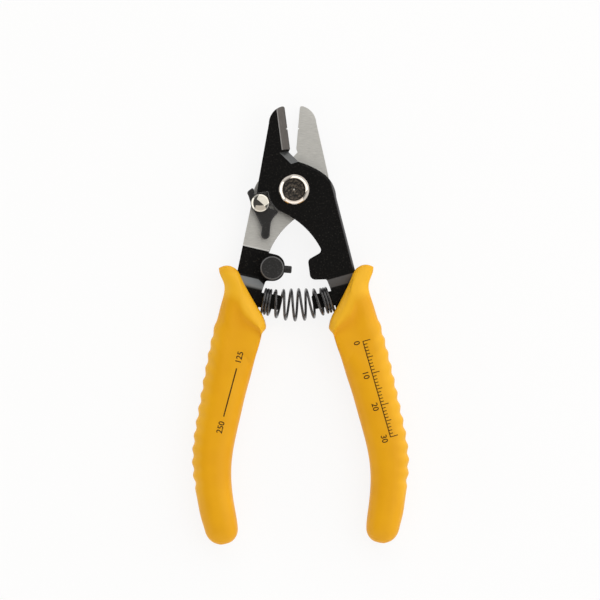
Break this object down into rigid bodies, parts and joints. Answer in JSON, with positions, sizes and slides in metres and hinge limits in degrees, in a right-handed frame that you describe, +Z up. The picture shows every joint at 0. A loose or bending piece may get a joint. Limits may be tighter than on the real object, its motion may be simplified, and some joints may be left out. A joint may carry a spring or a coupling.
{
  "type": "fibre stripper",
  "caption": "Hand tool with two lapped steel jaws on one pivot, a bowed coil return spring, an adjustable closing stop, a thumb latch and moulded ribbed grips.",
  "frame": {"origin": "under the middle of the tool's bounding box, on the surface that it lies on", "axes": "+Y along the tool towards the jaw tips, +Z up out of the front face, +X to the right seen from the front"},
  "size_m": [0.0658, 0.133, 0.0116],
  "materials": {
    "black_steel": "black oxide, satin",
    "ground_steel": "ground across, satin",
    "bright_nickel": "polished nickel",
    "spring_steel": "oil-blackened wire",
    "pin_steel": "dark turned steel",
    "grip_plastic": "satin moulded plastic"
  },
  "bodies": {
    "rear_half": {"rear_blade": "ground_steel", "left_grip": "grip_plastic", "pivot_bolt": "pin_steel", "pivot_ring_nut": "bright_nickel", "pivot_washer": "ground_steel", "latch_rivet": "bright_nickel", "latch_washer": "ground_steel", "stop_post": "black_steel", "return_spring": "spring_steel"},
    "front_half": {"front_blade": "black_steel", "right_grip": "grip_plastic"},
    "latch": {"latch_lever": "black_steel"},
    "closing_stop": {"stop_screw": "black_steel"}
  },
  "joints": [
    {"name": "handle_close", "type": "hinge", "parent": "rear_half", "child": "front_half", "pos_m": [-0.00009, 0.04118, 0.0058], "axis": [0, 0, -1], "range_deg": [0, 12.4], "stiffness_Nm_per_rad": 3.2, "springref_deg": -5.16, "deforming": ["return_spring"]},
    {"name": "latch_turn", "type": "hinge", "parent": "rear_half", "child": "latch", "pos_m": [-0.01039, 0.03737, 0.007], "axis": [0, 0, -1], "range_deg": [0, 8]},
    {"name": "stop_adjust", "type": "slide", "parent": "rear_half", "child": "closing_stop", "axis": [0.9942, -0.108, 0], "range_m": [-0.001, 0]}
  ]
}
